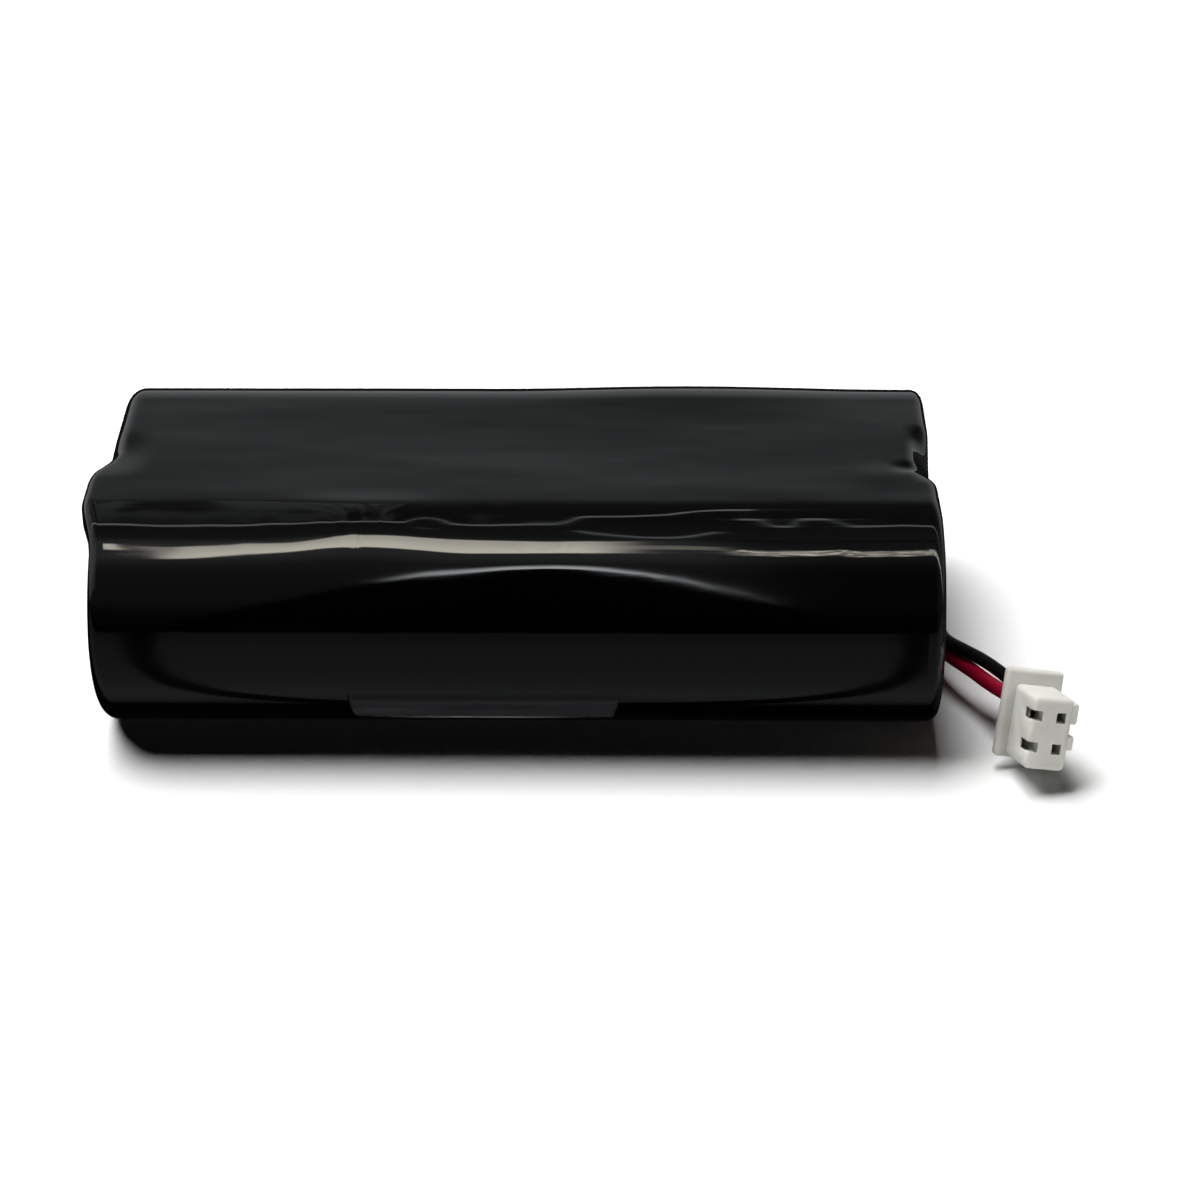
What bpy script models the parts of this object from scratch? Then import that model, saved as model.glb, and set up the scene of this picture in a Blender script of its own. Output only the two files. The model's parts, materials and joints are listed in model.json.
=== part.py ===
"""Rechargeable battery pack: two cylindrical lithium-ion cells in series, side by side in one black
shrink sleeve, with a protection board in the groove below them and a red and a black lead that end
in a small white four-way plug.

X runs along the cells, Y across them and Z up. The origin is the middle of the pack's footprint.
Sizes are written in millimetres, and each mesh is scaled to metres as it is made.
"""

import math

import bmesh
import bpy
from mathutils import Euler, Matrix, Vector

MM = 0.001
WELD = 1e-7

# The pack
PACK_LENGTH = 67.0
CELL_SPACING = 18.4
FILM_RADIUS = 9.4
FILM = 0.2
FILM_EDGE = 1.2
FILM_OPENING = 6.8
LEFT_DIP = 1.0
RIGHT_DIP = 2.0
DIP_START = 28.0
DIP_MIDDLE = 30.3
DIP_HALF_WIDTH = 6.9
HALF_LENGTH = PACK_LENGTH / 2
HALF_SPACING = CELL_SPACING / 2
AXIS_HEIGHT = FILM_RADIUS

# One cell, measured from its negative end
CELL_LENGTH = 65.0
SLEEVE_RADIUS = 9.15
SLEEVE_FILM = 0.12
CAN_START = 0.15
CAN_TOP = 64.4
CAN_RADIUS = 9.0
CAN_WALL = 0.25
BEAD_CENTRE = 61.0
BEAD_DEPTH = 0.8
CRIMP_RADIUS = 7.3
SEAL_RADIUS = 7.0
ROLL_RADIUS = 8.55
ROLL_HOLE = 1.5
ROLL_START = 1.0
ROLL_END = 59.4
HALF_CELL = CELL_LENGTH / 2

# Nickel strip and paper
NICKEL = 0.15
NICKEL_GAP = 0.03
TAB_LEVEL = 0.95
PAPER = 0.25
PAPER_GAP = 0.05
PAPER_RADIUS = 7.7
SLOT_LOW = (-2.4, 0.5)
SLOT_HIGH = (1.8, 5.4)

# Protection board
BOARD_START = -24.0
BOARD_END = 12.0
BOARD_HALF_WIDTH = 3.0
BOARD_LEVEL = 1.3
BOARD_THICKNESS = 0.8
BOARD_TOP = BOARD_LEVEL + BOARD_THICKNESS
SOLDER_GAP = 0.05
JOINT_PLACE = 9.2

# Leads and plug
LEAD_RADIUS = 0.55
LEAD_POINT_SPACING = 2.6
PLUG_PLACE = (41.3, -22.15, 5.12)
PLUG_TURN = (-17.0, 11.5, 9.0)
PLUG_DEPTH = 5.5
COLUMN = 0.95
ROW = 1.25
PLUG_BODY = ((-1.45, 0.0, -3.0), (1.9, 4.8, 2.8))
PLUG_COLLAR = ((-2.35, 4.5, -3.2), (2.4, 5.5, 4.0))
PLUG_RIBS = [((1.8, 0.0, 0.8), (2.34, 4.7, 2.5)), ((1.8, 0.0, -1.3), (2.34, 4.7, -0.1))]
HOLE_HALF_WIDTH = 0.38
HOLE_HALF_HEIGHT = 0.42
CAVITY_HALF_HEIGHT = 0.62
CAVITY_START = 0.9
ENTRY_HALF_WIDTH = 0.75
ENTRY_START = 4.8
WINDOW_DEPTH = 1.7
CONTACT_HALF_WIDTH = 0.28
CONTACT_HALF_HEIGHT = 0.5
CONTACT_WALL = 0.08
CONTACT_START = 1.3
CONTACT_END = 4.0
BORE_END = 3.5
BARREL_END = 4.85
LEAD_END = 5.15
STRAIGHT_RUN = 1.6

CUT_MARGIN = 0.5
OVERLAP = 0.1

ROUND_SIDES = 40
SMALL_SIDES = 32
FINE_SIDES = 12
QUARTER_STEPS = 3
VALLEY_STEPS = 8
CURVE_STEPS = 20
SHARP_ANGLE = 30

# Lead routes, from the board's pads, along the groove, out of the sleeve and to the plug
BLACK_ROUTE = [
    (10.3, 0.95, 2.8), (15.0, 0.8, 2.8), (21.0, 0.7, 2.8), (26.5, 0.7, 3.0), (29.6, 0.8, 3.4),
    (31.2, 0.8, 3.8), (32.5, 0.45, 4.13), (33.4, -0.3, 4.29), (33.93, -1.35, 4.3),
    (34.22, -2.4, 4.17), (34.4, -3.4, 4.0), (34.65, -4.5, 3.87), (35.2, -5.8, 3.95),
    (36.3, -7.5, 4.15), (37.7, -9.2, 4.15), (39.1, -10.9, 3.85), (40.2, -13.0, 3.65),
]
RED_ROUTE = [
    (10.3, -0.95, 2.8), (15.0, -0.8, 2.8), (21.0, -0.7, 2.8), (26.5, -0.7, 3.0),
    (30.0, -0.65, 3.4), (31.6, -0.7, 3.55), (32.75, -1.05, 3.42), (33.6, -1.85, 3.14),
    (34.2, -3.0, 2.88), (34.63, -4.4, 2.73), (35.2, -5.8, 2.78), (35.95, -7.3, 2.93),
    (36.85, -9.1, 3.13), (37.8, -11.4, 3.45),
]

# Colours
BLACK_FILM = (0.012, 0.012, 0.013)
SLEEVE_GREEN = (0.04, 0.22, 0.20)
STEEL = (0.62, 0.62, 0.63)
NICKEL_GREY = (0.66, 0.64, 0.60)
PAPER_GREY = (0.42, 0.44, 0.38)
PAPER_WHITE = (0.80, 0.80, 0.76)
POLYMER_WHITE = (0.72, 0.72, 0.70)


def material(name, colour, roughness, metallic):
    """One Principled material for one sub-part."""
    look = bpy.data.materials.new(name)
    look.use_nodes = True
    shader = look.node_tree.nodes["Principled BSDF"]
    shader.inputs["Base Color"].default_value = (*colour, 1.0)
    shader.inputs["Roughness"].default_value = roughness
    shader.inputs["Metallic"].default_value = metallic
    look.diffuse_color = (*colour, 1.0)
    return look


def add_object(name, data, finish, parent=None):
    """Link data as an object with its material, under its parent."""
    piece = bpy.data.objects.new(name, data)
    bpy.context.scene.collection.objects.link(piece)
    piece.parent = parent
    if finish:
        data.materials.append(material(name, *finish))
    return piece


def solid(name, shape, finish, parent=None):
    """Turn a bmesh in millimetres into a named object in metres, shaded smooth with sharp edges."""
    bmesh.ops.recalc_face_normals(shape, faces=shape.faces)
    bmesh.ops.scale(shape, vec=(MM, MM, MM), verts=shape.verts)
    mesh = bpy.data.meshes.new(name)
    shape.to_mesh(mesh)
    shape.free()
    mesh.shade_smooth()
    mesh.set_sharp_from_angle(angle=math.radians(SHARP_ANGLE))
    return add_object(name, mesh, finish, parent)


def frame_at(name, place, turn=(0.0, 0.0, 0.0)):
    """An empty that places the pieces under it; turn is in degrees about X, Y and Z."""
    empty = bpy.data.objects.new(name, None)
    empty.location = Vector(place) * MM
    empty.rotation_euler = Euler([math.radians(angle) for angle in turn])
    bpy.context.scene.collection.objects.link(empty)
    return empty


def use_tool(piece, tool, operation):
    """Cut piece by tool, or join tool to it, and keep the tool out of the model."""
    step = piece.modifiers.new(operation.lower(), "BOOLEAN")
    step.operation = operation
    step.object = tool
    tool.hide_render = True
    tool.display_type = "WIRE"


def box_shape(*boxes):
    """A bmesh of one or more boxes, each given by its low and its high corner."""
    shape = bmesh.new()
    for low, high in boxes:
        size = Vector(high) - Vector(low)
        middle = (Vector(high) + Vector(low)) / 2
        place = Matrix.Translation(middle) @ Matrix.Diagonal((*size, 1.0))
        bmesh.ops.create_cube(shape, size=1.0, matrix=place)
    return shape


def turned_shape(profile, sides):
    """A bmesh turned about the X axis from (x, radius) points that run around the section."""
    shape = bmesh.new()
    corners = [shape.verts.new((x, radius, 0.0)) for x, radius in profile]
    edges = [shape.edges.new(pair) for pair in zip(corners, corners[1:])]
    if min(radius for _, radius in profile) > 0:
        edges.append(shape.edges.new((corners[-1], corners[0])))
    bmesh.ops.spin(shape, geom=corners + edges, cent=(0, 0, 0), axis=(1, 0, 0), dvec=(0, 0, 0),
                   angle=math.tau, steps=sides, use_merge=True)
    bmesh.ops.remove_doubles(shape, verts=shape.verts, dist=WELD / MM)
    return shape


def ring_profile(start, end, inner, outer):
    """Section of a plain ring or, with inner at zero, of a disc."""
    return [(start, inner), (start, outer), (end, outer), (end, inner)]


def plate_shape(outline, offset, direction):
    """A flat plate: its outline's points in 3-D, pushed by offset along the unit direction."""
    shape = bmesh.new()
    face = shape.faces.new([shape.verts.new(point) for point in outline])
    grown = bmesh.ops.extrude_face_region(shape, geom=[face])
    moved = [item for item in grown["geom"] if isinstance(item, bmesh.types.BMVert)]
    bmesh.ops.translate(shape, vec=Vector(direction) * offset, verts=moved)
    return shape


def film_dip(x):
    """How far the film over the groove sinks at x: nothing in the middle, most at the ends."""
    share = (abs(x) - DIP_START) / (HALF_LENGTH - FILM_EDGE - DIP_START)
    share = min(max(share, 0.0), 1.0)
    depth = RIGHT_DIP if x > 0 else LEFT_DIP
    return depth * share * share * (3 - 2 * share)


def pack_outline(radius, dip):
    """(y, z) points around both cells at this radius from their axes, with a dip in the top."""
    steps = ROUND_SIDES // 2
    points = []
    for side in (-1, 1):
        for step in range(steps + 1):
            angle = math.pi * (step if side < 0 else steps - step) / steps
            across = side * (HALF_SPACING + radius * math.sin(angle))
            points.append((across, AXIS_HEIGHT + radius * math.cos(angle)))
    for step in range(1, VALLEY_STEPS):
        across = HALF_SPACING * (1 - 2 * step / VALLEY_STEPS)
        share = min(abs(across) / DIP_HALF_WIDTH, 1.0)
        depth = dip * (1 + math.cos(math.pi * share)) / 2
        points.append((across, AXIS_HEIGHT + radius - depth))
    return points


def sleeve_section():
    """(x, radius) points of the film's section, once around: outside, then back along the inside."""
    outside = [(HALF_LENGTH, FILM_OPENING)]
    inside = [(HALF_LENGTH - FILM, FILM_OPENING)]
    for points, radius in ((outside, FILM_EDGE), (inside, FILM_EDGE - FILM)):
        for step in range(QUARTER_STEPS + 1):
            angle = math.pi / 2 * step / QUARTER_STEPS
            x = HALF_LENGTH - FILM_EDGE + radius * math.cos(angle)
            points.append((x, FILM_RADIUS - FILM_EDGE + radius * math.sin(angle)))
        points += [(DIP_MIDDLE, points[-1][1]), (DIP_START, points[-1][1])]
    outside += [(-x, radius) for x, radius in reversed(outside)]
    inside += [(-x, radius) for x, radius in reversed(inside)]
    return outside + inside[::-1]


def outer_sleeve():
    """The shrink film around both cells: flat above and below, rolled over both ends."""
    shape = bmesh.new()
    rings = []
    for x, radius in sleeve_section():
        outline = pack_outline(radius, film_dip(x))
        rings.append([shape.verts.new((x, y, z)) for y, z in outline])
    for ring, following in zip(rings, rings[1:] + rings[:1]):
        for index in range(len(ring)):
            beside = (index + 1) % len(ring)
            shape.faces.new((ring[index], ring[beside], following[beside], following[index]))
    solid("outer_sleeve", shape, (BLACK_FILM, 0.12, 0.0))


def end_insulator(name, side):
    """Barley-paper sheet over the cell ends; the right one has a slot for the leads."""
    outer_face = HALF_LENGTH - FILM - PAPER_GAP
    outline = [(side * outer_face, y, z)
               for y, z in pack_outline(PAPER_RADIUS, film_dip(side * outer_face))]
    sheet = solid(name, plate_shape(outline, PAPER, (-side, 0, 0)), (PAPER_GREY, 0.85, 0.0))
    if side > 0:
        slot = box_shape(((outer_face - CUT_MARGIN, *SLOT_LOW),
                          (outer_face + CUT_MARGIN, *SLOT_HIGH)))
        use_tool(sheet, solid("slot_tool", slot, None), "DIFFERENCE")


def can_profile():
    """Section of the steel can: a deep cup with a rolled bead and a crimped mouth."""
    inner = CAN_RADIUS - CAN_WALL
    bead = CAN_RADIUS - BEAD_DEPTH
    return [
        (CAN_START, 0), (CAN_START, 8.0), (0.4, 8.6), (1.0, CAN_RADIUS),
        (BEAD_CENTRE - 0.8, CAN_RADIUS), (BEAD_CENTRE - 0.35, bead), (BEAD_CENTRE + 0.35, bead),
        (BEAD_CENTRE + 0.8, CAN_RADIUS), (64.0, CAN_RADIUS), (CAN_TOP, 8.6),
        (CAN_TOP, CRIMP_RADIUS), (CAN_TOP - CAN_WALL, CRIMP_RADIUS), (CAN_TOP - CAN_WALL, 8.5),
        (63.9, inner), (BEAD_CENTRE + 0.95, inner), (BEAD_CENTRE + 0.45, bead - CAN_WALL),
        (BEAD_CENTRE - 0.45, bead - CAN_WALL), (BEAD_CENTRE - 0.95, inner), (1.1, inner),
        (0.62, 8.4), (CAN_START + CAN_WALL, 7.9), (CAN_START + CAN_WALL, 0),
    ]


def sleeve_profile():
    """Section of a cell's own thin sleeve, which laps over both ends of the can."""
    inner = SLEEVE_RADIUS - SLEEVE_FILM
    return [
        (0.0, 6.8), (0.0, 8.08), (0.27, 8.74), (0.95, SLEEVE_RADIUS), (64.05, SLEEVE_RADIUS),
        (64.53, 8.72), (64.79, 8.2), (64.79, 7.4), (64.67, 7.4), (64.67, 8.15), (64.43, 8.64),
        (64.03, inner), (0.97, inner), (0.37, 8.64), (SLEEVE_FILM, 8.03), (SLEEVE_FILM, 6.8),
    ]


def gasket_profile():
    """Section of the seal ring that grips the cap, the ring and the disc under it."""
    return [
        (62.1, 6.4), (62.1, 8.6), (63.85, 8.6), (64.08, 8.4), (64.08, 6.6), (63.68, 6.6),
        (63.68, SEAL_RADIUS + 0.1), (62.52, SEAL_RADIUS + 0.1), (62.52, 6.4),
    ]


def cap_profile():
    """Section of the pressed positive cap with its raised button."""
    return [
        (CELL_LENGTH, 0), (CELL_LENGTH, 3.4), (63.6, 3.9), (63.6, SEAL_RADIUS),
        (63.3, SEAL_RADIUS), (63.3, 3.65), (CELL_LENGTH - 0.3, 3.15), (CELL_LENGTH - 0.3, 0),
    ]


def vent_profile():
    """Section of the dished burst disc."""
    return [
        (62.75, 0), (62.75, 2.6), (62.88, 3.2), (62.88, SEAL_RADIUS),
        (62.6, SEAL_RADIUS), (62.6, 3.0), (62.47, 2.4), (62.47, 0),
    ]


def cell(name, side):
    """One cell on its axis, side -1 in front and 1 behind; the front one has its cap at the left."""
    turn = 0.0 if side > 0 else 180.0
    axis = frame_at(name, (-side * HALF_CELL, side * HALF_SPACING, AXIS_HEIGHT), (0, 0, turn))
    turned_pieces = [
        ("can", can_profile(), ROUND_SIDES, (STEEL, 0.3, 1.0)),
        ("sleeve", sleeve_profile(), ROUND_SIDES, (SLEEVE_GREEN, 0.35, 0.0)),
        ("gasket", gasket_profile(), SMALL_SIDES, ((0.08, 0.16, 0.42), 0.5, 0.0)),
        ("cap", cap_profile(), SMALL_SIDES, (NICKEL_GREY, 0.25, 1.0)),
        ("burst_disc", vent_profile(), SMALL_SIDES, ((0.75, 0.76, 0.77), 0.3, 1.0)),
        ("thermal_ring", ring_profile(62.95, 63.22, 4.2, SEAL_RADIUS), SMALL_SIDES,
         ((0.10, 0.10, 0.11), 0.6, 0.0)),
        ("cap_washer", ring_profile(64.44, 64.64, 4.4, 8.1), SMALL_SIDES,
         (PAPER_WHITE, 0.8, 0.0)),
        ("jelly_roll", ring_profile(ROLL_START, ROLL_END, ROLL_HOLE, ROLL_RADIUS), SMALL_SIDES,
         ((0.18, 0.17, 0.17), 0.7, 0.0)),
        ("top_insulator", ring_profile(ROLL_END + 0.1, ROLL_END + 0.35, ROLL_HOLE, 8.5),
         SMALL_SIDES, (PAPER_WHITE, 0.8, 0.0)),
        ("bottom_insulator", ring_profile(0.5, 0.8, ROLL_HOLE, 7.8), SMALL_SIDES,
         (PAPER_WHITE, 0.8, 0.0)),
    ]
    for piece, profile, sides, finish in turned_pieces:
        solid(f"{name}_{piece}", turned_shape(profile, sides), finish, axis)
    strips = [
        ("positive_collector", (ROLL_END - 1.0, -1.2, -0.05), (62.3, 1.2, 0.05), 0.35),
        ("negative_collector", (0.45, -1.2, -0.05), (3.0, 1.2, 0.05), 0.25),
    ]
    for piece, low, high, roughness in strips:
        solid(f"{name}_{piece}", box_shape((low, high)), (NICKEL_GREY, roughness, 1.0), axis)


def series_link():
    """Nickel strip that joins the front cell's cap to the rear cell's can, split at each weld."""
    inner = -HALF_CELL - NICKEL_GAP
    reach = HALF_SPACING + 4.0
    half_height = 3.5
    corner = 1.0
    outline = [
        (inner, across * y, AXIS_HEIGHT + up * z)
        for across, up, ends in ((-1, -1, 1), (1, -1, -1), (1, 1, 1), (-1, 1, -1))
        for y, z in ((reach, half_height - corner), (reach - corner, half_height))[::ends]
    ]
    link = solid("series_link", plate_shape(outline, NICKEL, (-1, 0, 0)), (NICKEL_GREY, 0.32, 1.0))
    half_slit, half_gap = 2.5, 0.4
    slits = box_shape(*[
        ((inner - CUT_MARGIN, side * HALF_SPACING - half_slit, AXIS_HEIGHT - half_gap),
         (inner + CUT_MARGIN, side * HALF_SPACING + half_slit, AXIS_HEIGHT + half_gap))
        for side in (-1, 1)
    ])
    use_tool(link, solid("slit_tool", slits, None), "DIFFERENCE")


def end_tab(name, side):
    """Nickel strip from a cell's right end, bent under the cells and back to the board."""
    inner = HALF_CELL + NICKEL_GAP
    plate = [
        (12.2, 12.4), (6.2, 12.4), (6.2, 6.4), (3.8, 2.2), (3.8, TAB_LEVEL), (5.2, TAB_LEVEL),
        (5.2, 2.2), (9.0, 6.4), (12.2, 6.4),
    ]
    upright = plate_shape([(inner, side * y, z) for y, z in plate], NICKEL, (1, 0, 0))
    tab = solid(name, upright, (NICKEL_GREY, 0.32, 1.0))
    foot = [
        (inner + NICKEL, 3.8), (inner + NICKEL, 5.2), (9.0, 5.2), (9.0, 1.2), (11.0, 1.2),
        (11.0, 3.8),
    ]
    flat = plate_shape([(x, side * y, TAB_LEVEL) for x, y in foot], NICKEL, (0, 0, 1))
    use_tool(tab, solid(f"{name}_foot", flat, None), "UNION")


def midpoint_tap():
    """Nickel strip from the link between the cells down into the groove and to the board."""
    outer = -HALF_CELL - 2 * (NICKEL_GAP + NICKEL)
    half_width = 1.2
    top = 8.5
    board_overlap = 2.5
    upright = box_shape(((outer, -half_width, TAB_LEVEL), (outer + NICKEL, half_width, top)))
    tap = solid("midpoint_tap", upright, (NICKEL_GREY, 0.32, 1.0))
    flat = box_shape(((outer, -half_width, TAB_LEVEL),
                      (BOARD_START + board_overlap, half_width, TAB_LEVEL + NICKEL)))
    use_tool(tap, solid("midpoint_foot", flat, None), "UNION")


def cell_adhesive():
    """Bead of hot glue in the upper groove that holds the cells together."""
    half_length = 20.0
    side = [(0.3, 12.3), (0.95, 13.9), (1.7, 15.2), (1.3, 15.6)]
    outline = side + [(-y, z) for y, z in reversed(side)]
    points = [(-half_length, y, z) for y, z in outline]
    solid("cell_adhesive", plate_shape(points, 2 * half_length, (1, 0, 0)),
          ((0.72, 0.66, 0.50), 0.3, 0.0))


def chips(name, size, places, finish):
    """Equal small blocks that stand on the board, one at each (x, y)."""
    length, width, height = size
    low = BOARD_TOP + SOLDER_GAP
    for number, (x, y) in enumerate(places, 1):
        block = box_shape(((x - length / 2, y - width / 2, low),
                           (x + length / 2, y + width / 2, low + height)))
        solid(f"{name}_{number}", block, finish)


def packaged_chip(name, centre, body, leg, leg_places):
    """A moulded chip on the board: its body, and legs that run out under it along X."""
    x, y = centre
    level = BOARD_TOP + SOLDER_GAP
    length, width, height = body
    leg_length, leg_width, leg_height = leg
    core = box_shape(((x - length / 2, y - width / 2, level + leg_height / 2),
                      (x + length / 2, y + width / 2, level + height)))
    chip = solid(name, core, ((0.02, 0.02, 0.02), 0.55, 0.0))
    legs = box_shape(*[
        ((x - leg_length / 2, y + place - leg_width / 2, level),
         (x + leg_length / 2, y + place + leg_width / 2, level + leg_height))
        for place in leg_places
    ])
    use_tool(chip, solid(f"{name}_legs", legs, None), "UNION")


def protection_board():
    """The narrow circuit board below the cells, its parts and the strip that insulates it."""
    board = box_shape(((BOARD_START, -BOARD_HALF_WIDTH, BOARD_LEVEL),
                       (BOARD_END, BOARD_HALF_WIDTH, BOARD_TOP)))
    solid("protection_board", board, ((0.02, 0.16, 0.07), 0.4, 0.0))
    transistor = {"body": (4.4, 3.0, 1.0), "leg": (6.4, 0.3, 0.2),
                  "leg_places": (-0.98, -0.33, 0.33, 0.98)}
    packaged_chip("discharge_transistor", (-12.0, 0.0), **transistor)
    packaged_chip("charge_transistor", (-4.0, 0.0), **transistor)
    packaged_chip("protection_chip", (2.2, 0.0), body=(1.6, 2.9, 1.0), leg=(2.8, 0.35, 0.2),
                  leg_places=(-0.95, 0.0, 0.95))
    resistor_places = [(5.0, 0), (6.6, 0), (-17.5, 1), (-17.5, -1)]
    capacitor_places = [(-19.5, 1), (-19.5, -1), (-8.0, 0)]
    chips("resistor", (0.8, 1.6, 0.45), resistor_places, ((0.03, 0.03, 0.035), 0.5, 0.0))
    chips("capacitor", (0.8, 1.6, 0.8), capacitor_places, ((0.55, 0.42, 0.28), 0.5, 0.0))
    dome = [(0.0, 0.0), (0.0, 0.7), (0.3, 0.6), (0.5, 0.3), (0.55, 0.0)]
    for name, across in (("positive_solder_joint", -COLUMN), ("negative_solder_joint", COLUMN)):
        joint = turned_shape(dome, FINE_SIDES)
        place = Matrix.Translation((JOINT_PLACE, across, BOARD_TOP + SOLDER_GAP))
        joint.transform(place @ Matrix.Rotation(-math.pi / 2, 4, "Y"))
        solid(name, joint, ((0.7, 0.7, 0.72), 0.25, 1.0))
    strip = box_shape(((-31.0, -6.0, 0.35), (31.0, 6.0, 0.6)))
    solid("board_insulator", strip, (PAPER_GREY, 0.85, 0.0))


def smooth_route(points):
    """Even points on a smooth curve through the route's own points."""
    route = [Vector(point) for point in points]
    ends = [2 * route[0] - route[1], *route, 2 * route[-1] - route[-2]]
    fine = []
    for before, start, end, after in zip(ends, ends[1:], ends[2:], ends[3:]):
        for step in range(CURVE_STEPS):
            t = step / CURVE_STEPS
            fine.append(0.5 * (2 * start + (end - before) * t
                               + (2 * before - 5 * start + 4 * end - after) * t ** 2
                               + (3 * start - before - 3 * end + after) * t ** 3))
    fine.append(route[-1])
    lengths = [0.0]
    for start, end in zip(fine, fine[1:]):
        lengths.append(lengths[-1] + (end - start).length)
    count = round(lengths[-1] / LEAD_POINT_SPACING)
    even = []
    for index in range(count + 1):
        wanted = lengths[-1] * index / count
        place = max(i for i, length in enumerate(lengths) if length <= wanted + WELD)
        place = min(place, len(fine) - 2)
        share = (wanted - lengths[place]) / (lengths[place + 1] - lengths[place])
        even.append(fine[place].lerp(fine[place + 1], share))
    return even


def lead(name, route, colour):
    """One insulated lead as a tube along its route."""
    curve = bpy.data.curves.new(name, "CURVE")
    curve.dimensions = "3D"
    curve.bevel_depth = LEAD_RADIUS * MM
    curve.bevel_resolution = 2
    curve.use_fill_caps = True
    points = smooth_route(route)
    spline = curve.splines.new("POLY")
    spline.points.add(len(points) - 1)
    for target, point in zip(spline.points, points):
        target.co = (*(point * MM), 1.0)
    add_object(name, curve, (colour, 0.4, 0.0))


def plug_point(across, back, up):
    """A point of the plug's own frame, in the pack's frame."""
    turn = Euler([math.radians(angle) for angle in PLUG_TURN])
    return Vector(PLUG_PLACE) + turn.to_matrix() @ Vector((across, back, up))


def cavity_boxes(half_width, half_height, start, end):
    """Four equal boxes along the plug, one around the middle of each cavity."""
    return [((column - half_width, start, row - half_height),
             (column + half_width, end, row + half_height))
            for column in (-COLUMN, COLUMN) for row in (-ROW, ROW)]


def plug_housing(frame):
    """The moulded plug: a body with four cavities, a collar behind it and two ribs at its side."""
    housing = solid("plug_housing", box_shape(PLUG_BODY), (POLYMER_WHITE, 0.45, 0.0), frame)
    additions = {"collar": [PLUG_COLLAR], "ribs": PLUG_RIBS}
    low_x = PLUG_BODY[0][0]
    cuts = {
        "contact_holes": cavity_boxes(HOLE_HALF_WIDTH, HOLE_HALF_HEIGHT, -CUT_MARGIN,
                                      CAVITY_START + OVERLAP),
        "contact_cavities": cavity_boxes(HOLE_HALF_WIDTH, CAVITY_HALF_HEIGHT, CAVITY_START,
                                         ENTRY_START + OVERLAP),
        "lead_entries": cavity_boxes(ENTRY_HALF_WIDTH, ENTRY_HALF_WIDTH, ENTRY_START,
                                     PLUG_DEPTH + CUT_MARGIN),
        "side_windows": [((low_x - CUT_MARGIN, -CUT_MARGIN, row - HOLE_HALF_HEIGHT),
                          (-COLUMN, WINDOW_DEPTH, row + HOLE_HALF_HEIGHT))
                         for row in (-ROW, ROW)],
    }
    for name, boxes in additions.items():
        use_tool(housing, solid(name, box_shape(*boxes), None, frame), "UNION")
    for name, boxes in cuts.items():
        use_tool(housing, solid(name, box_shape(*boxes), None, frame), "DIFFERENCE")


def plug_contact(name, column, frame):
    """A socket contact in the upper row: a square tube with a crimp barrel behind it."""
    half_width, half_height = CONTACT_HALF_WIDTH, CONTACT_HALF_HEIGHT
    tube = box_shape(((column - half_width, CONTACT_START, ROW - half_height),
                      (column + half_width, CONTACT_END, ROW + half_height)))
    contact = solid(name, tube, (NICKEL_GREY, 0.3, 1.0), frame)
    section = ring_profile(CONTACT_END - OVERLAP, BARREL_END, 0, half_width)
    barrel = turned_shape(section, FINE_SIDES)
    place = Matrix.Translation((column, 0, ROW))
    barrel.transform(place @ Matrix.Rotation(math.pi / 2, 4, "Z"))
    use_tool(contact, solid(f"{name}_barrel", barrel, None, frame), "UNION")
    inner_width, inner_height = half_width - CONTACT_WALL, half_height - CONTACT_WALL
    bore = box_shape(((column - inner_width, CONTACT_START - CUT_MARGIN, ROW - inner_height),
                      (column + inner_width, BORE_END, ROW + inner_height)))
    use_tool(contact, solid(f"{name}_bore", bore, None, frame), "DIFFERENCE")


def leads_and_plug():
    """Both leads, whose last points run straight into the plug, and the plug itself."""
    frame = frame_at("plug", PLUG_PLACE, PLUG_TURN)
    plug_housing(frame)
    plug_contact("positive_contact", -COLUMN, frame)
    plug_contact("negative_contact", COLUMN, frame)
    for name, route, column, colour in (
            ("positive_lead", RED_ROUTE, -COLUMN, (0.35, 0.005, 0.015)),
            ("negative_lead", BLACK_ROUTE, COLUMN, (0.012, 0.012, 0.012))):
        arrival = [plug_point(column, back, ROW)
                   for back in (PLUG_DEPTH + STRAIGHT_RUN, LEAD_END)]
        lead(name, route + arrival, colour)


def build():
    """Empty the scene and make every piece of the pack."""
    for old in list(bpy.data.objects):
        bpy.data.objects.remove(old)
    outer_sleeve()
    end_insulator("left_end_insulator", -1)
    end_insulator("right_end_insulator", 1)
    cell("front_cell", -1)
    cell("rear_cell", 1)
    cell_adhesive()
    series_link()
    end_tab("negative_tab", -1)
    end_tab("positive_tab", 1)
    midpoint_tap()
    protection_board()
    leads_and_plug()


build()
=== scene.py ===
"""Looks of the battery pack: the shrink film, the leads, the plug, every material and the studio."""

import json
import math

import bmesh
import bpy
from mathutils import Euler, Matrix, Vector, noise


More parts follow.
